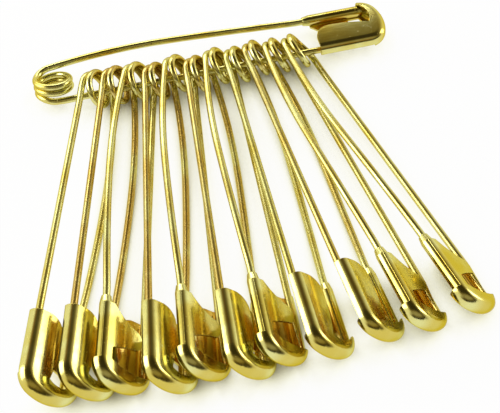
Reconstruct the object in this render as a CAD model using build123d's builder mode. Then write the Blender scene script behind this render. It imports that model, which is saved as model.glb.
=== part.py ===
"""A dozen brass safety pins in a bunch: eleven hang by their coils on the needle of the twelfth.

Every pin is one steel wire with a sheet cap. The wire runs from the cap as a bowed back leg, winds
into the coil and leaves it as the needle, which the cap's rolled wall holds. Each pin is written as
four nodes: back leg, coil, needle and cap. The wire is split where it flexes.

A pin has its own frame: the coil's centre is the origin, Y runs along the pin to the cap, X points
from the back leg to the needle, and Z comes out of the face with the wide lip.

In the bunch's frame the strung needle runs along +X, the hung pins point to -Y and Z is up.
"""
from build123d import *

import os
from dataclasses import dataclass
from math import asin, cos, pi, radians, sin, sqrt

# Wire
pin_length = 75.0
wire_diameter = 1.35
coil_diameter = 8.15
turn_gap = 0.42
back_leg_splay_angle = 6.0
back_leg_return_angle = 5.2
neck_bend_length = 3.2
needle_bend_length = 6.5
needle_point_length = 6.0
needle_point_diameter = 0.14
needle_stop_gap = 0.6

# Cap
cap_length = 15.6
cap_width = 12.1
cap_thickness = 3.4
sheet_thickness = 0.45
cap_corner_radius = 4.2
cap_end_radius = 9.0
cup_depth = 3.7
lip_shoulder = 3.0
lip_round_radius = 3.3
lip_lean = 1.2
tab_top_drop = 0.4
tab_point_drop = 4.2
tab_reach = 6.4
tab_end_length = 3.4
half_moon_rise = 3.0
rim_sag = 0.7
sheath_wall = 0.45
crimp_clearance = 0.03
neck_rise = 1.1
neck_taper_length = 1.4
neck_lip_thickness = 0.2
wire_end_gap = 1.4
sheath_inset = 0.3
sheath_seat = 0.1
needle_inward_shift = 0.4
needle_level = -0.8
wall_edge_rise = 0.55

# Bunch
needle_height = 3.72
needle_rise_angle = 0.2
carrier_tilt = 21.0
first_pin_place = 8.4
hung_pin_pitch = 4.27
coil_play = 0.5
coil_rest_height = 4.17
coil_roll = 59.0
hung_cap_twist = -14.0
carrier_cap_twist = -20.0
cap_rest_height = 5.17
origin_along_needle = 27.47
origin_behind_needle = -30.32

hung_turns = 1.5
carrier_turns = 2.5
hung_leans = (17.4, 15.4, 14.0, 10.4, 9.0, 5.9, 4.5, 1.0, -3.6, -6.8, -11.5)
hung_slides = (0.85, 0.85, 0.85, -0.3, 0.8, -0.5, 0.7, 0.0, 0.8, 0.4, 0.6)
hung_faces_up = ("lip", "lip", "tab", "lip", "tab", "lip", "tab", "lip", "lip", "tab", "tab")
carrier_open_slope = 9.0
hung_open_slopes = {"lip": 10.0, "tab": 36.0}
cutter_overrun = 2.0

# Sizes that follow
wire_radius = wire_diameter / 2
winding_radius = coil_diameter / 2 - wire_radius
turn_pitch = wire_diameter + turn_gap
cap_end = pin_length - coil_diameter / 2
cap_top = cap_end - cap_length
cap_rim = cap_end - cup_depth
half_width = cap_width / 2
half_thickness = cap_thickness / 2
bore_radius = wire_radius + crimp_clearance
sheath_radius = bore_radius + sheath_wall
sheath_across = half_width - sheath_radius - sheath_inset
sheath_level = -(half_thickness - sheath_radius) * 3 / 4
needle_across = half_width - half_thickness - needle_inward_shift
back_leg_splay = back_leg_splay_angle / 360
needle_tip = cap_rim - needle_stop_gap

os.makedirs("parts", exist_ok=True)


def along_winding(turns, turned):
    """Point and direction of the wire in a coil, a number of turns from the back leg."""
    angle = pi + turned * 2 * pi
    level = turn_pitch * (turns / 2 - turned)
    place = Vector(winding_radius * cos(angle), winding_radius * sin(angle), level)
    heading = Vector(-2 * pi * winding_radius * sin(angle), 2 * pi * winding_radius * cos(angle), -turn_pitch)
    return place, heading.normalized()


def add_tangent_arcs(stations):
    """Joins stations, each a point and a direction, by two tangent arcs a step."""
    for (start, start_way), (end, end_way) in zip(stations, stations[1:]):
        chord = end - start
        turn = 2 * (1 - start_way.dot(end_way))
        pull = 2 * chord.dot(start_way + end_way)
        reach = 2 * chord.dot(chord) / (pull + sqrt(pull * pull + 4 * turn * chord.dot(chord)))
        middle = (start + start_way * reach + end - end_way * reach) / 2
        middle_way = (end - end_way * reach) - (start + start_way * reach)
        TangentArc(start, middle, tangent=start_way)
        TangentArc(middle, end, tangent=middle_way)


@dataclass
class PinShape:
    """One way of bending the wire: the turns in its coil and the twist of its cap."""

    turns: float
    twist: float

    @property
    def cap_plane(self):
        """The cap's own frame, turned about the pin's length against the coil."""
        lean = radians(self.twist)
        return Plane(origin=(0, 0, 0), x_dir=(cos(lean), 0, sin(lean)), z_dir=(-sin(lean), 0, cos(lean)))

    def in_cap(self, across, along, level):
        """A point given in the cap's frame, in the pin's frame."""
        return self.cap_plane.from_local_coords(Vector(across, along, level))

    @property
    def needle_line(self):
        """Start and tip of the needle's straight stretch."""
        coil_exit, _ = along_winding(self.turns, self.turns)
        start = coil_exit + Vector(0, needle_bend_length, 0)
        return start, self.in_cap(needle_across, needle_tip, needle_level)

    def opening_axis(self, open_slope):
        """Axis about which the needle turns out of the cap, a right-handed turn opens it."""
        slope = radians(open_slope)
        return self.in_cap(-sin(slope), 0, -cos(slope))


def make_coil(shape):
    """The wound wire, one unbroken tube of quarter turns from the splayed back leg to the needle."""
    quarters = round(shape.turns * 4)
    places = [back_leg_splay] + [quarter / 4 for quarter in range(1, quarters + 1)]
    stations = [along_winding(shape.turns, place) for place in places]
    with BuildPart() as coil:
        with BuildLine() as route:
            add_tangent_arcs(stations)
        with BuildSketch(Plane(origin=route.line @ 0, z_dir=route.line % 0)):
            Circle(wire_radius)
        sweep()
    return coil


def make_back_leg(shape):
    """The bowed leg from the cap's sheath to the coil."""
    coil_entry, winding_way = along_winding(shape.turns, back_leg_splay)
    returning = radians(back_leg_return_angle)
    bend_outward = neck_bend_length * sin(returning / 2)
    neck = shape.in_cap(-sheath_across, cap_top - neck_rise, sheath_level)
    bend = shape.in_cap(-sheath_across - bend_outward, cap_top - neck_rise - neck_bend_length, sheath_level)
    bend_way = shape.in_cap(sin(returning), cos(returning), 0)
    wire_end = shape.in_cap(-sheath_across, cap_rim - wire_end_gap, sheath_level)
    ahead = Vector(0, 1, 0)
    with BuildPart() as back_leg:
        with BuildLine() as route:
            add_tangent_arcs([(coil_entry, -winding_way), (bend, bend_way), (neck, ahead)])
            Line(neck, wire_end)
        with BuildSketch(Plane(origin=route.line @ 0, z_dir=route.line % 0)):
            Circle(wire_radius)
        sweep()
    return back_leg


def make_needle(shape):
    """The straight leg with its ground point."""
    coil_exit, winding_way = along_winding(shape.turns, shape.turns)
    start, tip = shape.needle_line
    straight_way = (tip - start).normalized()
    shoulder = tip - straight_way * needle_point_length
    with BuildPart() as needle:
        with BuildLine() as route:
            add_tangent_arcs([(coil_exit, winding_way), (start, straight_way)])
            Line(start, shoulder)
        with BuildSketch(Plane(origin=route.line @ 0, z_dir=route.line % 0)):
            Circle(wire_radius)
        sweep()
        with BuildSketch(Plane(origin=shoulder, z_dir=straight_way)):
            Circle(wire_radius)
        with BuildSketch(Plane(origin=tip, z_dir=straight_way)):
            Circle(needle_point_diameter / 2)
        loft()
    return needle


def cap_outline(inset):
    """Plan of the cap, open end down, drawn in by the inset."""
    side = half_width - inset
    corner = cap_corner_radius - inset
    end = cap_end_radius - inset
    offset_across = half_width - cap_corner_radius
    offset_along = sqrt((cap_end_radius - cap_corner_radius) ** 2 - offset_across**2)
    end_centre = cap_end - cap_end_radius
    shoulder = end_centre + offset_along
    spread = cap_end_radius - cap_corner_radius
    joint = (end * offset_across / spread, end_centre + end * offset_along / spread)
    mirrored = (-joint[0], joint[1])
    with BuildSketch() as outline:
        with BuildLine():
            Line((-side, cap_top), (side, cap_top))
            Line((side, cap_top), (side, shoulder))
            TangentArc((side, shoulder), joint, tangent=(0, 1))
            ThreePointArc(joint, (0, end_centre + end), mirrored)
            TangentArc((-side, shoulder), mirrored, tangent=(0, 1))
            Line((-side, shoulder), (-side, cap_top))
        make_face()
    return outline.sketch


def rounded_slab(inset):
    """Closed slab with a full round edge all round but at the open end."""
    depth = half_thickness - inset
    with BuildPart() as slab:
        add(cap_outline(inset))
        extrude(amount=depth, both=True)
        rims = slab.edges().filter_by(lambda edge: abs(abs(edge.center().Z) - depth) < sheet_thickness / 9)
        rims = rims.filter_by(lambda edge: edge.center().Y > cap_top + sheet_thickness)
        fillet(rims, depth * 0.97)
    return slab.part


def window_outline():
    """What is cut from the lip's face: the open top, the lip's edge and the window above the cup."""
    lip_edge = lip_shoulder - lip_round_radius
    outside = -half_width - cutter_overrun
    above = cap_top - cutter_overrun
    foot = lip_edge + lip_lean
    rim_start = (-sheath_across, cap_rim - rim_sag)
    with BuildSketch() as window:
        with BuildLine():
            Line((outside, cap_rim - rim_sag), (outside, above))
            Line((outside, above), (lip_shoulder, above))
            Line((lip_shoulder, above), (lip_shoulder, cap_top))
            TangentArc((lip_shoulder, cap_top), (lip_edge, cap_top + lip_round_radius), tangent=(-1, 0))
            TangentArc((lip_edge, cap_top + lip_round_radius), (foot, cap_rim), tangent=(0, 1))
            ThreePointArc((foot, cap_rim), (-sheath_across / 2, cap_rim + rim_sag), rim_start)
            Line(rim_start, (outside, cap_rim - rim_sag))
        make_face()
    return window.sketch


def tab_outline():
    """What is cut from the tab's face: the channel beside the tab and the half moon below it."""
    outside = half_width + cutter_overrun
    above = cap_top - cutter_overrun
    root = -sheath_across + sheath_radius
    tip = root + tab_reach
    point_top = (tip - tab_end_length / 4, cap_top + tab_point_drop)
    point_end = (tip, cap_top + tab_point_drop + tab_end_length / 2)
    point_low = (tip - tab_end_length / 4, cap_top + tab_point_drop + tab_end_length)
    tab_top = (root, cap_top + tab_top_drop)
    moon_top = cap_rim - half_moon_rise
    with BuildSketch() as opening:
        with BuildLine():
            Line((outside, above), (-outside, above))
            Line((-outside, above), (-outside, cap_top + tab_top_drop))
            Line((-outside, cap_top + tab_top_drop), tab_top)
            TangentArc(point_top, tab_top, tangent=(-1, -1 / 3))
            ThreePointArc(point_top, point_end, point_low)
            TangentArc(point_low, (root, moon_top), tangent=(-1, 1 / 9))
            Line((root, moon_top), (root, cap_rim - rim_sag))
            ThreePointArc((root, cap_rim - rim_sag), (0, cap_rim + rim_sag / 2), (outside, cap_rim - rim_sag))
            Line((outside, cap_rim - rim_sag), (outside, above))
        make_face()
    return opening.sketch


def make_cap():
    """Cup, lip and rolled wall on one face, tab on the other, and the sheath crimped on the back leg."""
    tab_level = -half_thickness + sheet_thickness
    sheath_start = cap_top - neck_rise
    neck_radius = bore_radius + neck_lip_thickness
    sheath_end = cap_rim + sheath_seat
    sheath_axis = Plane(origin=(-sheath_across, sheath_start, sheath_level), z_dir=(0, 1, 0))
    with BuildPart() as cap:
        add(rounded_slab(0))
        add(rounded_slab(sheet_thickness), mode=Mode.SUBTRACT)
        with BuildSketch(Plane.XY.offset(tab_level)):
            add(window_outline())
        extrude(amount=cap_thickness, mode=Mode.SUBTRACT)
        with BuildSketch(Plane.XY.offset(needle_level + wall_edge_rise)):
            add(tab_outline())
        extrude(amount=-cap_thickness, mode=Mode.SUBTRACT)
        with BuildSketch(sheath_axis):
            Circle(neck_radius)
        with BuildSketch(sheath_axis.offset(neck_taper_length)):
            Circle(sheath_radius)
        loft()
        with BuildSketch(sheath_axis.offset(neck_taper_length)):
            Circle(sheath_radius)
        extrude(amount=sheath_end - sheath_start - neck_taper_length)
        with BuildSketch(sheath_axis):
            Circle(bore_radius)
        extrude(amount=cap_rim - wire_end_gap + crimp_clearance - sheath_start, mode=Mode.SUBTRACT)
    return cap


@dataclass
class PlacedPin:
    """One pin of the bunch: its name, its shape, its frame in the bunch and how its needle leaves the cap."""

    name: str
    shape: PinShape
    location: Location
    open_slope: float

    def write(self, piece, source, spin=None):
        """Writes one piece, in the pin's frame or turned with its cap, as a node of the bunch."""
        place = self.location if spin is None else self.location * spin
        with BuildPart() as placed:
            with Locations(place):
                add(source.part)
        placed.part.label = f"{self.name}_{piece}"
        export_step(placed.part, f"parts/{placed.part.label}.step")
        return placed.part


def line_frame(shape):
    """Frame on the needle's straight stretch: X along it, Z as near to the pin's Z as can be."""
    start, tip = shape.needle_line
    way = (tip - start).normalized()
    face = (Vector(0, 0, 1) - way * way.Z).normalized()
    return Plane(origin=start, x_dir=way, z_dir=face)


def carrier_location(shape):
    """Lays the carrier so that its straight needle is the bunch's axis."""
    rise = radians(needle_rise_angle)
    tilt = radians(carrier_tilt)
    way = Vector(cos(rise), 0, sin(rise))
    level = Vector(-sin(rise), 0, cos(rise))
    face = level * cos(tilt) + Vector(0, 1, 0) * sin(tilt)
    start = Vector(needle_bend_length - origin_along_needle, -origin_behind_needle, needle_height)
    target = Plane(origin=start, x_dir=way, z_dir=face)
    return target.location * line_frame(shape).location.inverse()


def hung_location(index):
    """A pin in the fan, rolled on its side and slid along itself as far as the needle in its eye lets it."""
    rise = radians(needle_rise_angle)
    place = first_pin_place + hung_pin_pitch * index
    across = place * cos(rise) - origin_along_needle
    strung_level = needle_height + (place - needle_bend_length) * sin(rise)
    level = max(coil_rest_height, strung_level - coil_play)
    lean = radians(hung_leans[index])
    climb = asin((cap_rest_height - level) / ((cap_top + cap_end) / 2))
    roll = radians(coil_roll)
    ahead = Vector(-sin(lean) * cos(climb), -cos(lean) * cos(climb), sin(climb))
    top = Vector(sin(lean) * sin(climb), cos(lean) * sin(climb), cos(climb))
    left = ahead.cross(top)
    centre = Vector(across, -origin_behind_needle, level) - ahead * hung_slides[index]
    side = left * cos(roll) + top * sin(roll)
    face = top * cos(roll) - left * sin(roll)
    if hung_faces_up[index] == "tab":
        side, face = -side, -face
    return Plane(origin=centre, x_dir=side, z_dir=face).location


def least_turn_gap(shape):
    """Least clear space between the coil's turns, measured on points of the wire's centre line."""
    steps_a_turn = 720
    steps = round(shape.turns * steps_a_turn)
    points = [along_winding(shape.turns, step / steps_a_turn)[0] for step in range(steps + 1)]
    half_turn = steps_a_turn // 2
    pairs = ((near, far) for near in range(steps) for far in range(near + half_turn, steps + 1))
    return min((points[far] - points[near]).length for near, far in pairs) - wire_diameter


def vector_text(vector):
    """A vector as text with four decimals."""
    return f"({vector.X:.4f}, {vector.Y:.4f}, {vector.Z:.4f})"


hung_shape = PinShape(hung_turns, hung_cap_twist)
carrier_shape = PinShape(carrier_turns, carrier_cap_twist)
cap = make_cap()
pieces = {}
for name, shape in (("carrier", carrier_shape), ("hung", hung_shape)):
    pieces[name] = {
        "back_leg": make_back_leg(shape),
        "coil": make_coil(shape),
        "needle": make_needle(shape),
    }
    print(f"{name} coil: {shape.turns} turns, least gap between turns {least_turn_gap(shape):.3f} mm")

pins = [PlacedPin("carrier", carrier_shape, carrier_location(carrier_shape), carrier_open_slope)]
for index, face_up in enumerate(hung_faces_up):
    name = f"pin_{index + 1:02d}"
    pins.append(PlacedPin(name, hung_shape, hung_location(index), hung_open_slopes[face_up]))

for pin in pins:
    family = pieces["carrier" if pin.name == "carrier" else "hung"]
    for piece in family:
        pin.write(piece, family[piece])
    pin.write("cap", cap, pin.shape.cap_plane.location)
    frame = Plane(pin.location)
    axis = frame.from_local_coords(pin.shape.opening_axis(pin.open_slope)) - frame.origin
    print(f"{pin.name} opens about {vector_text(axis)} at {vector_text(frame.origin)}")

needle_frame = Plane(pins[0].location)
line_start, line_tip = (needle_frame.from_local_coords(point) for point in carrier_shape.needle_line)
print(f"strung needle from {vector_text(line_start)} to {vector_text(line_tip)}")
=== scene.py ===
"""Dresses a dozen brass safety pins: eleven hang by their coils on the needle of the twelfth.

The caps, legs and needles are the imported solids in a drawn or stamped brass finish. The coils are
wound here, because they twist when a needle opens. Lengths are in millimetres until they reach Blender.
"""

import logging
import math
from collections.abc import Iterator
from dataclasses import dataclass, replace
from enum import Enum

import bpy
from mathutils import Matrix, Vector


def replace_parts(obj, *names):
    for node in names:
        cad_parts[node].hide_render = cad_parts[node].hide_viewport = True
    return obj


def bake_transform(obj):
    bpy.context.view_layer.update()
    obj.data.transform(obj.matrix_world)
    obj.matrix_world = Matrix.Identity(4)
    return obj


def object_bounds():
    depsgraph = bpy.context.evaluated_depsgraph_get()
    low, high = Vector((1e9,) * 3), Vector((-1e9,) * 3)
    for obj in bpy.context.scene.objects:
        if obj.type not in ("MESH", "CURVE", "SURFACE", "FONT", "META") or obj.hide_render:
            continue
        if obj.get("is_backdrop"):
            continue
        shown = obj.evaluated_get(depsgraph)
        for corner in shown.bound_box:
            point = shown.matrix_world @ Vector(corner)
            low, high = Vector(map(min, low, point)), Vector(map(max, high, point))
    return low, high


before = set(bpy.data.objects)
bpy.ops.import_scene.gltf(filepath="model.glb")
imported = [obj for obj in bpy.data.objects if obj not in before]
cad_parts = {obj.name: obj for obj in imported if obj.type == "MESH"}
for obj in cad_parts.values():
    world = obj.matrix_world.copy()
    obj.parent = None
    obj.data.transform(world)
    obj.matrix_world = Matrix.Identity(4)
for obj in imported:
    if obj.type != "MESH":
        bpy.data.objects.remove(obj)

log = logging.getLogger("safety_pins")
MM = 0.001
Colour = tuple[float, float, float, float]
Paint = Colour | bpy.types.NodeSocket
Span = tuple[float, float]


class Signal:
    """A number in a material's tree, on which Python's operators add Math nodes."""

    def __init__(self, sheet: "NodeSheet", socket: bpy.types.NodeSocket) -> None:
        """Wraps a socket.

        Args:
            sheet: The tree that the socket belongs to.
            socket: The output that carries the number.
        """
        self.sheet = sheet
        self.socket = socket

    def maths(self, operation: str, first: "Signal | float", second: "Signal | float") -> "Signal":
        """Adds a Math node.

        Args:
            operation: The node's operation.
            first: Its first value.
            second: Its second value.

        Returns:
            The result.
        """
        node = self.sheet.node("ShaderNodeMath", {"operation": operation}, {0: first, 1: second})
        return Signal(self.sheet, node.outputs[0])

    def __add__(self, other: "Signal | float") -> "Signal":
        """Sum."""
        return self.maths("ADD", self, other)

    def __radd__(self, other: float) -> "Signal":
        """Sum with a number on the left."""
        return self.maths("ADD", other, self)

    def __sub__(self, other: "Signal | float") -> "Signal":
        """Difference."""
        return self.maths("SUBTRACT", self, other)

    def __rsub__(self, other: float) -> "Signal":
        """Difference from a number on the left."""
        return self.maths("SUBTRACT", other, self)

    def __mul__(self, other: "Signal | float") -> "Signal":
        """Product."""
        return self.maths("MULTIPLY", self, other)

    def __rmul__(self, other: float) -> "Signal":
        """Product with a number on the left."""
        return self.maths("MULTIPLY", other, self)

    def __pow__(self, other: "Signal | float") -> "Signal":
        """Power."""
        return self.maths("POWER", self, other)

    def __neg__(self) -> "Signal":
        """The number with its sign turned."""
        return 0.0 - self

    def __abs__(self) -> "Signal":
        """The number without its sign."""
        return self.maths("ABSOLUTE", self, 0.0)


class NodeSheet:
    """One node tree under construction.

    A Mix node has a set of sockets for each kind of value. The three places are those of its colours.
    """

    MIX_FIRST = 6
    MIX_SECOND = 7
    MIX_RESULT = 2

    def __init__(self, tree: bpy.types.NodeTree) -> None:
        """Empties the tree.

        Args:
            tree: The tree of a material or world.
        """
        self.tree = tree
        tree.nodes.clear()

    def node(self, kind: str, settings: dict | None = None, values: dict | None = None) -> bpy.types.Node:
        """Adds a node.

        Args:
            kind: The node's type.
            settings: Attributes that are set first, and "stops" for a colour ramp's places and colours.
            values: Sockets by name or place, with a number, a colour, a Signal or an output to link.

        Returns:
            The node.
        """
        made = self.tree.nodes.new(kind)
        for name, value in (settings or {}).items():
            if name == "stops":
                self.set_stops(made.color_ramp, value)
            else:
                setattr(made, name, value)
        for place, value in (values or {}).items():
            if isinstance(value, Signal):
                value = value.socket
            if isinstance(value, bpy.types.NodeSocket):
                self.tree.links.new(value, made.inputs[place])
            else:
                made.inputs[place].default_value = value
        return made

    @staticmethod
    def set_stops(ramp: bpy.types.ColorRamp, stops: tuple[tuple[float, Colour], ...]) -> None:
        """Sets a ramp's stops.

        Args:
            ramp: The ramp.
            stops: Places from 0 to 1 with their colours.
        """
        for place, _ in stops[len(ramp.elements):]:
            ramp.elements.new(place)
        for element, (place, colour) in zip(ramp.elements, stops):
            element.position = place
            element.color = colour

    def number(self, kind: str, settings: dict, values: dict, output: int | str = 0) -> Signal:
        """Adds a node and takes one of its outputs as a number.

        Args:
            kind: The node's type.
            settings: As in node.
            values: As in node.
            output: The output's name or place.

        Returns:
            The output.
        """
        return Signal(self, self.node(kind, settings, values).outputs[output])

    def parts(self, vector: bpy.types.NodeSocket) -> Iterator[Signal]:
        """Splits a vector.

        Args:
            vector: The vector.

        Returns:
            Its three numbers.
        """
        split = self.node("ShaderNodeSeparateXYZ", {}, {"Vector": vector})
        return (Signal(self, output) for output in split.outputs)

    def between(self, value: Signal, span: Span) -> Signal:
        """Stretches a span of values to 0 to 1, with soft ends.

        Args:
            value: The number.
            span: The values that become 0 and 1.

        Returns:
            The stretched number.
        """
        values = {"Value": value, "From Min": span[0], "From Max": span[1]}
        return self.number("ShaderNodeMapRange", {"interpolation_type": "SMOOTHSTEP"}, values)

    def mixed(self, share: Signal, first: Paint, second: Paint) -> bpy.types.NodeSocket:
        """Mixes two colours.

        Args:
            share: 0 for the first colour, 1 for the second.
            first: A colour or an output.
            second: A colour or an output.

        Returns:
            The mixed colour.
        """
        values = {"Factor": share, self.MIX_FIRST: first, self.MIX_SECOND: second}
        return self.node("ShaderNodeMix", {"data_type": "RGBA"}, values).outputs[self.MIX_RESULT]


def rgb(red: float, green: float, blue: float) -> Colour:
    """A colour with full cover."""
    return (red, green, blue, 1.0)


WHITE = rgb(1.0, 1.0, 1.0)


@dataclass(frozen=True)
class SoftNoise:
    """One layer of soft noise: its waves in a unit of length, its finer layers and the span that counts."""

    waves: float
    detail: float
    span: Span = (0.0, 1.0)

    def raw(self, sheet: NodeSheet, places: bpy.types.NodeSocket) -> Signal:
        """Adds the noise.

        Args:
            sheet: The tree.
            places: The coordinates.

        Returns:
            The noise as it is.
        """
        values = {"Vector": places, "Scale": self.waves, "Detail": self.detail}
        return sheet.number("ShaderNodeTexNoise", {}, values, "Fac")

    def spots(self, sheet: NodeSheet, places: bpy.types.NodeSocket) -> Signal:
        """Adds the noise, stretched from the span to 0 to 1.

        Args:
            sheet: The tree.
            places: The coordinates.

        Returns:
            The spots.
        """
        return sheet.between(self.raw(sheet, places), self.span)


class Stock(Enum):
    """What a piece is made from, with the waves a millimetre of its draw lines across, along and up."""

    DRAWN_WIRE = (2.6, 0.06, 2.6)
    STAMPED_SHEET = (1.9, 0.09, 1.9)


@dataclass(frozen=True)
class CapZones:
    """Places where the finish of a cap changes.

    They are in the cap's own frame, in millimetres: across from its middle to the needle, along from the
    coil's centre and up from its middle plane.
    """

    inner_level: Span = (1.16, 1.4)
    inner_side: Span = (5.45, 5.75)
    sheath_side: Span = (-3.6, -3.1)
    inner_end: Span = (69.4, 69.9)
    end_curve: float = 0.1
    wire_end: tuple[float, float] = (-4.6, 66.7)
    ring_radius: float = 0.78
    ring_edge: Span = (0.004, 0.03)
    outer_level: Span = (0.1, 0.4)

    def inner_faces(self, sheet: NodeSheet, across: Signal, along: Signal, level: Signal) -> Signal:
        """Finds the inner faces, where a warmer colour is painted for the light that bounces between the
        cap's brass walls.

        Args:
            sheet: The tree.
            across: The place across.
            along: The place along.
            level: The place up.

        Returns:
            1 on the inner faces.
        """
        within = 1.0 - sheet.between(abs(level), self.inner_level)
        side = 1.0 - sheet.between(across, self.inner_side)
        clear_of_sheath = sheet.between(across, self.sheath_side)
        before_end = 1.0 - sheet.between(along + across * across * self.end_curve, self.inner_end)
        return within * side * clear_of_sheath * before_end

    def wire_mark(self, sheet: NodeSheet, across: Signal, along: Signal, level: Signal) -> Signal:
        """Finds the faint round mark that the end of the wire presses into the sheet.

        Args:
            sheet: The tree.
            across: The place across.
            along: The place along.
            level: The place up.

        Returns:
            1 in the mark's groove.
        """
        aside, ahead = across - self.wire_end[0], along - self.wire_end[1]
        away = (aside * aside + ahead * ahead) ** 0.5 - self.ring_radius
        groove = 1.0 - sheet.between(away * away, self.ring_edge)
        return groove * sheet.between(level, self.outer_level)


@dataclass(frozen=True)
class BrassFinish:
    """Bright brass, drawn as wire or stamped from sheet, with the marks of handling.

    Every pattern is laid in the frame of the pin or its cap, in millimetres: X from the back leg to the
    needle, Y to the cap's end and Z out of the lip's face. Dulling adds to the roughness. Relief is in
    units of marks_depth.
    """

    stock: Stock
    polish: float
    copper_share: float = 0.0
    bright: Colour = rgb(0.76, 0.74, 0.30)
    deep: Colour = rgb(0.66, 0.53, 0.10)
    tarnish: Colour = rgb(0.22, 0.14, 0.03)
    copper: Colour = rgb(0.58, 0.36, 0.10)
    # Painted bounce light: the orange that a cap's inner faces get for the light reflected between its
    # walls.
    painted_bounce_colour: Colour = rgb(0.72, 0.40, 0.05)
    edge: Colour = rgb(0.80, 0.70, 0.30)
    clouds: SoftNoise = SoftNoise(0.11, 3.0, (0.35, 0.68))
    worn_span: Span = (0.30, 0.55)
    freckles: SoftNoise = SoftNoise(1.5, 2.0, (0.66, 0.78))
    patches: SoftNoise = SoftNoise(0.42, 4.0, (0.58, 0.78))
    lines: SoftNoise = SoftNoise(1.0, 2.0)
    zones: CapZones = CapZones()
    painted_bounce_share: float = 0.9
    patch_tarnish: float = 0.22
    freckle_tarnish: float = 0.3
    patch_dulling: float = 0.10
    freckle_dulling: float = 0.18
    line_dulling: float = 0.06
    line_relief: float = 0.5
    freckle_relief: float = 0.6
    wire_mark_relief: float = 3.0
    crown_relief: float = 1.2
    relief_strength: float = 0.35
    marks_depth: float = 0.02
    edge_round: float = 0.12
    edge_samples: int = 4

    def material(self, name: str, place: Matrix) -> bpy.types.Material:
        """Makes the material of one pin's wire or cap.

        Args:
            name: The material's name.
            place: The frame of the pin or of its cap, in metres.

        Returns:
            The material.
        """
        material = bpy.data.materials.new(name)
        material.use_nodes = True
        sheet = NodeSheet(material.node_tree)
        places = self.own_places(sheet, place)
        clouds = self.clouds.raw(sheet, places)
        freckles = self.freckles.spots(sheet, places)
        patches = self.patches.spots(sheet, places)
        lines = self.draw_lines(sheet, places)
        coloured = sheet.mixed(sheet.between(clouds, self.clouds.span), self.bright, self.deep)
        worn = sheet.between(clouds, self.worn_span) * self.copper_share
        coloured = sheet.mixed(worn, coloured, self.copper)
        relief = lines * self.line_relief - freckles * self.freckle_relief
        if self.stock is Stock.STAMPED_SHEET:
            across, along, level = sheet.parts(places)
            # Painted bounce light: the cap's inner faces turn orange, standing in for light reflected
            # between its walls.
            painted_bounce_mask = self.zones.inner_faces(sheet, across, along, level)
            coloured = sheet.mixed(painted_bounce_mask * self.painted_bounce_share, coloured, self.painted_bounce_colour)
            mark = self.zones.wire_mark(sheet, across, along, level)
            relief = relief - mark * self.wire_mark_relief - across * across * self.crown_relief
        tarnished = patches * self.patch_tarnish + freckles * self.freckle_tarnish
        dulled = patches * self.patch_dulling + freckles * self.freckle_dulling
        values = {
            "Base Color": sheet.mixed(tarnished, coloured, self.tarnish),
            "Metallic": 1.0,
            "Roughness": self.polish + dulled + lines * self.line_dulling,
            "Specular Tint": self.edge,
            "Normal": self.surface(sheet, relief),
        }
        shader = sheet.node("ShaderNodeBsdfPrincipled", {}, values)
        sheet.node("ShaderNodeOutputMaterial", {}, {"Surface": shader.outputs["BSDF"]})
        return material

    @staticmethod
    def own_places(sheet: NodeSheet, place: Matrix) -> bpy.types.NodeSocket:
        """Turns the object's coordinates into the frame of the pin or its cap.

        Args:
            sheet: The tree.
            place: The frame, in metres.

        Returns:
            The coordinates in millimetres.
        """
        back = place.inverted()
        values = {
            "Vector": sheet.node("ShaderNodeTexCoord").outputs["Object"],
            "Location": back.translation / MM,
            "Rotation": back.to_euler(),
            "Scale": (1 / MM, 1 / MM, 1 / MM),
        }
        return sheet.node("ShaderNodeMapping", {"vector_type": "POINT"}, values).outputs["Vector"]

    def draw_lines(self, sheet: NodeSheet, places: bpy.types.NodeSocket) -> Signal:
        """Adds the fine lines that drawing or rolling leaves along the metal.

        Args:
            sheet: The tree.
            places: The coordinates.

        Returns:
            The lines, from 0 to 1.
        """
        values = {"Vector": places, "Scale": self.stock.value}
        squeezed = sheet.node("ShaderNodeMapping", {"vector_type": "POINT"}, values)
        return self.lines.raw(sheet, squeezed.outputs["Vector"])

    def surface(self, sheet: NodeSheet, relief: Signal) -> bpy.types.NodeSocket:
        """Rounds the sharp edges and lays the relief over them.

        Args:
            sheet: The tree.
            relief: The relief.

        Returns:
            The normal.
        """
        radius = {"Radius": self.edge_round * MM}
        rounded = sheet.node("ShaderNodeBevel", {"samples": self.edge_samples}, radius)
        values = {
            "Strength": self.relief_strength,
            "Distance": self.marks_depth * MM,
            "Height": relief,
            "Normal": rounded.outputs[0],
        }
        return sheet.node("ShaderNodeBump", {}, values).outputs["Normal"]


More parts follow.
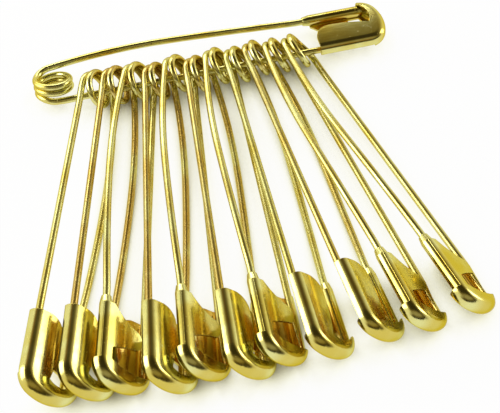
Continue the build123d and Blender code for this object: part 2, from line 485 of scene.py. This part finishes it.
@dataclass(frozen=True)
class TableFinish:
    """White table that fades into the white behind it and keeps the shadows close to the brass.

    Right under the brass its colour is darkened to an olive grey, a painted shade. Near the brass, the
    white it shows the camera and the brass turns pale yellow, a painted glow of light thrown off the brass.
    The spans are of the open sky over a point, which is 1 where nothing stands within shadow_reach.
    """

    paper: Colour = rgb(0.93, 0.925, 0.90)
    grain: Colour = rgb(0.88, 0.87, 0.83)
    # Painted reflection: the pale yellow that the table's white turns near the brass, for light thrown off
    # it.
    painted_brass_glow: Colour = rgb(0.95, 0.93, 0.60)
    # Painted shade: an olive grey that is mixed into the paper where the brass stands close over it.
    painted_contact_shade: Colour = rgb(0.26, 0.23, 0.12)
    fleck: SoftNoise = SoftNoise(900.0, 2.0)
    grain_share: float = 0.05
    roughness: float = 0.75
    painted_shade_share: float = 0.8
    painted_shade_span: Span = (0.15, 0.6)
    fade_share: float = 0.97
    fade_span: Span = (0.22, 0.66)
    painted_glow_span: Span = (0.35, 0.88)
    shadow_reach: float = 6.5
    shadow_samples: int = 8

    def material(self) -> bpy.types.Material:
        """Makes the table's material.

        Returns:
            The material.
        """
        material = bpy.data.materials.new("white_table")
        material.use_nodes = True
        sheet = NodeSheet(material.node_tree)
        places = sheet.node("ShaderNodeTexCoord").outputs["Object"]
        tint = sheet.mixed(self.fleck.raw(sheet, places) * self.grain_share, self.paper, self.grain)
        settings, values = {"samples": self.shadow_samples}, {"Distance": self.shadow_reach * MM}
        open_sky = sheet.number("ShaderNodeAmbientOcclusion", settings, values, "AO")
        # Painted shade: the paper's colour turns olive grey where little open sky is over it, close under
        # the brass.
        painted_shade_mask = 1.0 - sheet.between(open_sky, self.painted_shade_span)
        tint = sheet.mixed(painted_shade_mask * self.painted_shade_share, tint, self.painted_contact_shade)
        values = {"Base Color": tint, "Roughness": self.roughness}
        paper = sheet.node("ShaderNodeBsdfPrincipled", {}, values)
        # Painted reflection: close to the brass, the white that the camera and the brass see turns pale
        # yellow.
        painted_glow_tint = sheet.mixed(sheet.between(open_sky, self.painted_glow_span), self.painted_brass_glow, WHITE)
        glow = sheet.node("ShaderNodeEmission", {}, {"Color": painted_glow_tint, "Strength": 1.0})
        path = sheet.node("ShaderNodeLightPath")
        rays = ("Is Camera Ray", "Is Glossy Ray", "Is Transmission Ray")
        camera, glossy, clear = (Signal(sheet, path.outputs[ray]) for ray in rays)
        seen = (camera + glossy + clear) * sheet.between(open_sky, self.fade_span) * self.fade_share
        values = {0: seen, 1: paper.outputs["BSDF"], 2: glow.outputs["Emission"]}
        both = sheet.node("ShaderNodeMixShader", {}, values)
        sheet.node("ShaderNodeOutputMaterial", {}, {"Surface": both.outputs[0]})
        return material


@dataclass(frozen=True)
class WireSizes:
    """Sizes of the wire and its coil, in millimetres, and in turns where the name ends so.

    The radii, the turn's pitch, the splay and the turns are the same as in the part's source. The coil is
    wound tighter here, at wound_pitch, and settles from the one pitch to the other within settle_turn.
    """

    wire_radius: float = 0.675
    winding_radius: float = 3.4
    turn_pitch: float = 1.77
    splay_turn: float = 6.0 / 360.0
    wound_pitch: float = 1.38
    settle_turn: float = 0.2
    carrier_turns: float = 2.5
    hung_turns: float = 1.5


@dataclass
class Coil:
    """The coil of one pin: a wound tube that twists between the back leg and the needle."""

    name: str
    turns: float
    place: Matrix
    leg_body: str
    needle_body: str
    sizes: WireSizes = WireSizes()
    rings_a_turn: int = 72
    points_a_ring: int = 28
    tangent_share: float = 0.125

    def centre_line(self, turned: float) -> Vector:
        """A point of the wire's centre line in the pin's frame.

        Args:
            turned: Turns from the back leg.

        Returns:
            The point in millimetres.
        """
        sizes = self.sizes
        angle = math.pi + turned * 2 * math.pi
        before_middle = self.turns / 2 - turned
        from_end = min(turned - sizes.splay_turn, self.turns - turned)
        share = min(max(from_end / sizes.settle_turn, 0.0), 1.0)
        settled = share * share * (3 - 2 * share)
        pitch = sizes.turn_pitch + (sizes.wound_pitch - sizes.turn_pitch) * settled
        across = sizes.winding_radius
        return Vector((across * math.cos(angle), across * math.sin(angle), pitch * before_middle))

    def end_direction(self, turned: float) -> Vector:
        """The wire's direction where it meets the back leg or the needle, in the pin's frame.

        Args:
            turned: Turns from the back leg.

        Returns:
            The direction.
        """
        angle = math.pi + turned * 2 * math.pi
        fall = self.sizes.turn_pitch / (2 * math.pi * self.sizes.winding_radius)
        return Vector((-math.sin(angle), math.cos(angle), -fall)).normalized()

    def rings(self) -> Iterator[list[Vector]]:
        """Rings of points round the wire, from the back leg to the needle.

        Yields:
            One ring in the bunch's frame, in metres.
        """
        first, last = self.sizes.splay_turn, self.turns
        count = round((last - first) * self.rings_a_turn)
        reach = self.tangent_share / self.rings_a_turn
        for step in range(count + 1):
            turned = first + (last - first) * step / count
            centre = self.centre_line(turned)
            if step in (0, count):
                ahead = self.end_direction(turned)
            else:
                ahead = self.centre_line(turned + reach) - self.centre_line(turned - reach)
                ahead = ahead.normalized()
            outward = Vector((centre.x, centre.y, 0)).normalized()
            upward = ahead.cross(outward)
            ring = []
            for place in range(self.points_a_ring):
                turn = 2 * math.pi * place / self.points_a_ring
                offset = outward * math.cos(turn) + upward * math.sin(turn)
                ring.append(self.place @ ((centre + offset * self.sizes.wire_radius) * MM))
            yield ring

    def build(self, material: bpy.types.Material) -> bpy.types.Object:
        """Winds the coil.

        Args:
            material: The wire's material.

        Returns:
            The coil's object.
        """
        rings = list(self.rings())
        points = [point for ring in rings for point in ring]
        size = self.points_a_ring
        faces = []
        for ring in range(len(rings) - 1):
            start, end = ring * size, (ring + 1) * size
            for place in range(size):
                following = (place + 1) % size
                faces.append((start + place, start + following, end + following, end + place))
        mesh = bpy.data.meshes.new(self.name)
        mesh.from_pydata(points, [], faces)
        mesh.polygons.foreach_set("use_smooth", [True] * len(faces))
        mesh.materials.append(material)
        coil = bpy.data.objects.new(self.name, mesh)
        bpy.context.scene.collection.objects.link(coil)
        centre = self.place.translation
        face = (self.place.to_3x3() @ Vector((0, 0, 1))).normalized()
        half = self.sizes.turn_pitch * (self.turns - 1) / 2 * MM
        tuple(centre + face * half)
        tuple(centre - face * half)
        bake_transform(coil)
        return coil


@dataclass
class BunchLayout:
    """Where each pin lies: the same sizes and steps as in the part's source, in millimetres and degrees.

    Hung pins count from 0 by the carrier's coil. A lean turns a pin to the left of the carrier's square,
    a slide is how far it is pulled back along itself, and tab_up lists the pins that show their tab.
    """

    needle_height: float = 3.72
    needle_rise: float = 0.2
    carrier_tilt: float = 21.0
    first_pin_place: float = 8.4
    pin_pitch: float = 4.27
    coil_play: float = 0.5
    coil_rest_height: float = 4.17
    coil_roll: float = 59.0
    hung_cap_twist: float = -14.0
    carrier_cap_twist: float = -20.0
    cap_rest_height: float = 5.17
    origin_along: float = 27.47
    origin_behind: float = -30.32
    needle_bend_length: float = 6.5
    cap_middle: float = 63.125
    tip_in_cap: tuple[float, float, float] = (3.95, 66.625, -0.8)
    leans: tuple[float, ...] = (17.4, 15.4, 14.0, 10.4, 9.0, 5.9, 4.5, 1.0, -3.6, -6.8, -11.5)
    slides: tuple[float, ...] = (0.85, 0.85, 0.85, -0.3, 0.8, -0.5, 0.7, 0.0, 0.8, 0.4, 0.6)
    copper_shares: tuple[float, ...] = (0.1, 0.65, 0.1, 0.65, 0.15, 0.5, 0.1, 0.0, 0.35, 0.2, 0.1)
    tab_up: tuple[int, ...] = (2, 4, 6, 9, 10)

    @staticmethod
    def frame_of(side: Vector, ahead: Vector, face: Vector, centre: Vector) -> Matrix:
        """A frame from its axes.

        Args:
            side: The pin's X, from back leg to needle.
            ahead: The pin's Y, to the cap.
            face: The pin's Z, out of the lip's face.
            centre: The frame's origin in millimetres.

        Returns:
            The frame in metres.
        """
        turned = Matrix((side, ahead, face)).transposed().to_4x4()
        return Matrix.Translation(centre * MM) @ turned

    def hung(self, index: int) -> Matrix:
        """The frame of a hung pin.

        Args:
            index: The pin's place on the needle.

        Returns:
            Its frame in metres.
        """
        rise = math.radians(self.needle_rise)
        place = self.first_pin_place + self.pin_pitch * index
        strung_level = self.needle_height + (place - self.needle_bend_length) * math.sin(rise)
        level = max(self.coil_rest_height, strung_level - self.coil_play)
        lean = math.radians(self.leans[index])
        climb = math.asin((self.cap_rest_height - level) / self.cap_middle)
        roll = math.radians(self.coil_roll)
        away = Vector((-math.sin(lean), -math.cos(lean), 0))
        up = Vector((0, 0, 1))
        ahead = away * math.cos(climb) + up * math.sin(climb)
        top = up * math.cos(climb) - away * math.sin(climb)
        left = ahead.cross(top)
        strung = Vector((place * math.cos(rise) - self.origin_along, -self.origin_behind, level))
        centre = strung - ahead * self.slides[index]
        side = left * math.cos(roll) + top * math.sin(roll)
        face = top * math.cos(roll) - left * math.sin(roll)
        if index in self.tab_up:
            side, face = -side, -face
        return self.frame_of(side, ahead, face, centre)

    @staticmethod
    def turned_cap(twist: float) -> Matrix:
        """The cap's frame in the pin's frame.

        Args:
            twist: Degrees that the cap is turned about the pin's length.

        Returns:
            The frame.
        """
        return Matrix.Rotation(math.radians(-twist), 4, "Y")

    def carrier(self, sizes: WireSizes) -> Matrix:
        """The frame of the carrying pin, whose straight needle is the line that the others hang on.

        Args:
            sizes: The wire's sizes.

        Returns:
            Its frame in metres.
        """
        coil_end = -sizes.turn_pitch * sizes.carrier_turns / 2
        start = Vector((sizes.winding_radius, self.needle_bend_length, coil_end))
        tip = self.turned_cap(self.carrier_cap_twist) @ Vector(self.tip_in_cap)
        way = (tip - start).normalized()
        face = (Vector((0, 0, 1)) - way * way.z).normalized()
        on_pin = self.frame_of(way, face.cross(way), face, start)
        rise, tilt = math.radians(self.needle_rise), math.radians(self.carrier_tilt)
        along = Vector((math.cos(rise), 0, math.sin(rise)))
        level = Vector((-math.sin(rise), 0, math.cos(rise)))
        tilted = level * math.cos(tilt) + Vector((0, 1, 0)) * math.sin(tilt)
        across = self.needle_bend_length - self.origin_along
        bend = Vector((across, -self.origin_behind, self.needle_height))
        on_table = self.frame_of(along, tilted.cross(along), tilted, bend)
        return on_table @ on_pin.inverted()


def measure_boxes(stage: str, boxes: dict[str, list]) -> None:
    """Keeps the model's box under a name.

    Args:
        stage: The name.
        boxes: The boxes so far.
    """
    boxes[stage] = [list(corner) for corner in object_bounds()]


@dataclass(frozen=True)
class StudioRoom:
    """The room that the brass mirrors: white at the horizon, lit at the left, dim above and in front.

    The spans are of the direction's parts, which run from -1 to 1 across, behind and up.
    """

    left_bias: float = 0.32
    behind_bias: float = 0.48
    wall_span: Span = (0.03, 0.80)
    ceiling_span: Span = (0.64, 0.98)
    front_span: Span = (0.25, 0.6)
    front_height_span: Span = (0.35, 0.7)
    front_share: float = 0.36
    horizon_span: Span = (0.16, 0.26)
    shades: tuple[tuple[float, Colour], ...] = (
        (0.0, rgb(0.04, 0.032, 0.013)),
        (0.2, rgb(0.22, 0.175, 0.08)),
        (0.5, rgb(0.50, 0.46, 0.34)),
        (1.0, rgb(0.97, 0.97, 0.92)),
    )

    def build(self) -> None:
        """Makes the room the scene's world."""
        world = bpy.data.worlds.new("studio_room")
        bpy.context.scene.world = world
        world.use_nodes = True
        sheet = NodeSheet(world.node_tree)
        across, behind, height = sheet.parts(sheet.node("ShaderNodeTexCoord").outputs["Generated"])
        reach = across * across - across * self.left_bias + behind * self.behind_bias
        walls = sheet.between(reach, self.wall_span)
        front = sheet.between(-behind, self.front_span) * sheet.between(height, self.front_height_span)
        lit = walls * (1.0 - sheet.between(height, self.ceiling_span)) + front * self.front_share
        room = sheet.node("ShaderNodeValToRGB", {"stops": self.shades}, {"Fac": lit}).outputs["Color"]
        horizon = 1.0 - sheet.between(height, self.horizon_span)
        values = {"Color": sheet.mixed(horizon, room, WHITE), "Strength": 1.0}
        light = sheet.node("ShaderNodeBackground", {}, values)
        sheet.node("ShaderNodeOutputWorld", {}, {"Surface": light.outputs["Background"]})


@dataclass(frozen=True)
class SoftLamp:
    """A rectangular lamp that faces the bunch, with its place and size in millimetres."""

    name: str
    place: tuple[float, float, float]
    size: tuple[float, float]
    watts: float

    def hang(self, toward: Vector) -> None:
        """Hangs the lamp.

        Args:
            toward: The point that it faces, in millimetres.
        """
        light = bpy.data.lights.new(self.name, "AREA")
        light.shape = "RECTANGLE"
        light.size, light.size_y = self.size[0] * MM, self.size[1] * MM
        light.energy = self.watts
        lamp = bpy.data.objects.new(self.name, light)
        at = Vector(self.place)
        lamp.location = at * MM
        lamp.rotation_euler = (toward - at).to_track_quat("-Z", "Y").to_euler()
        bpy.context.scene.collection.objects.link(lamp)


@dataclass
class Studio:
    """Table, soft lamps and camera, in millimetres and degrees."""

    target: tuple[float, float, float] = (4.4, -2.4, 0.0)
    azimuth: float = -14.7
    elevation: float = 54.4
    distance: float = 220.5
    focal_pixels: float = 1139.0
    image_width: int = 500
    sensor_width: float = 36.0
    clip_range: tuple[float, float] = (10.0, 10000.0)
    table_half: float = 1200.0
    table: TableFinish = TableFinish()
    room: StudioRoom = StudioRoom()
    lamps: tuple[SoftLamp, ...] = (
        SoftLamp("left_window", (-450, 120, 240), (360, 420), 1.8),
        SoftLamp("right_window", (470, 60, 130), (140, 300), 0.5),
        SoftLamp("back_window", (-40, 420, 260), (420, 160), 0.8),
    )

    def lay_table(self) -> None:
        """Lays the white table."""
        half = self.table_half * MM
        mesh = bpy.data.meshes.new("table_top")
        corners = [(-half, -half, 0), (half, -half, 0), (half, half, 0), (-half, half, 0)]
        mesh.from_pydata(corners, [], [(0, 1, 2, 3)])
        mesh.materials.append(self.table.material())
        table = bpy.data.objects.new("table_top", mesh)
        bpy.context.scene.collection.objects.link(table)
        table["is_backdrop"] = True

    def stand_camera(self) -> None:
        """Stands the camera where the photograph was taken from."""
        lens = bpy.data.cameras.new("camera")
        lens.sensor_width = self.sensor_width
        lens.lens = self.focal_pixels / self.image_width * self.sensor_width
        lens.clip_start, lens.clip_end = (end * MM for end in self.clip_range)
        camera = bpy.data.objects.new("camera", lens)
        turn, lift = math.radians(self.azimuth), math.radians(self.elevation)
        out = Vector((math.sin(turn) * math.cos(lift), -math.cos(turn) * math.cos(lift), math.sin(lift)))
        camera.location = (Vector(self.target) + out * self.distance) * MM
        camera.rotation_euler = (-out).to_track_quat("-Z", "Y").to_euler()
        bpy.context.scene.collection.objects.link(camera)
        bpy.context.scene.camera = camera

    def build(self) -> None:
        """Sets up the studio."""
        self.lay_table()
        self.room.build()
        for lamp in self.lamps:
            lamp.hang(Vector(self.target))
        self.stand_camera()
        bpy.context.scene.view_settings.view_transform = "Standard"


@dataclass
class SafetyPin:
    """One pin: its solids get their finish, and its coil is wound."""

    name: str
    turns: float
    place: Matrix
    cap_turn: Matrix
    leg_body: str
    needle_body: str
    wire: BrassFinish = BrassFinish(Stock.DRAWN_WIRE, polish=0.2)
    sheet: BrassFinish = BrassFinish(Stock.STAMPED_SHEET, polish=0.14)

    @staticmethod
    def dress(node: str, material: bpy.types.Material) -> None:
        """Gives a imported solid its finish.

        Args:
            node: The solid's name.
            material: Its material.
        """
        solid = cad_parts[node]
        solid.data.materials.clear()
        solid.data.materials.append(material)

    def build(self) -> None:
        """Dresses the pin."""
        wire = self.wire.material(f"{self.name}_wire", self.place)
        sheet = self.sheet.material(f"{self.name}_sheet", self.place @ self.cap_turn)
        for piece in ("back_leg", "needle"):
            self.dress(f"{self.name}_{piece}", wire)
        self.dress(f"{self.name}_cap", sheet)
        coil = Coil(f"{self.name}_winding", self.turns, self.place, self.leg_body, self.needle_body)
        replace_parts(coil.build(wire), f"{self.name}_coil")
        log.info("%s dressed, its coil wound %.1f turns", self.name, self.turns)


def main() -> None:
    """Builds the scene."""
    logging.basicConfig(level=logging.INFO, format="%(message)s")
    boxes: dict[str, list] = {}
    measure_boxes("solids", boxes)
    layout, sizes = BunchLayout(), WireSizes()
    carrier_cap = layout.turned_cap(layout.carrier_cap_twist)
    hung_cap = layout.turned_cap(layout.hung_cap_twist)
    place = layout.carrier(sizes)
    SafetyPin("carrier", sizes.carrier_turns, place, carrier_cap, "clasp", "strung_needle").build()
    for index, copper_share in enumerate(layout.copper_shares):
        name = f"pin_{index + 1:02d}"
        pin = SafetyPin(name, sizes.hung_turns, layout.hung(index), hung_cap, name, f"{name}_point")
        pin.wire = replace(pin.wire, copper_share=copper_share)
        pin.build()
    Studio().build()
    measure_boxes("dressed", boxes)


if __name__ == "__main__":
    main()
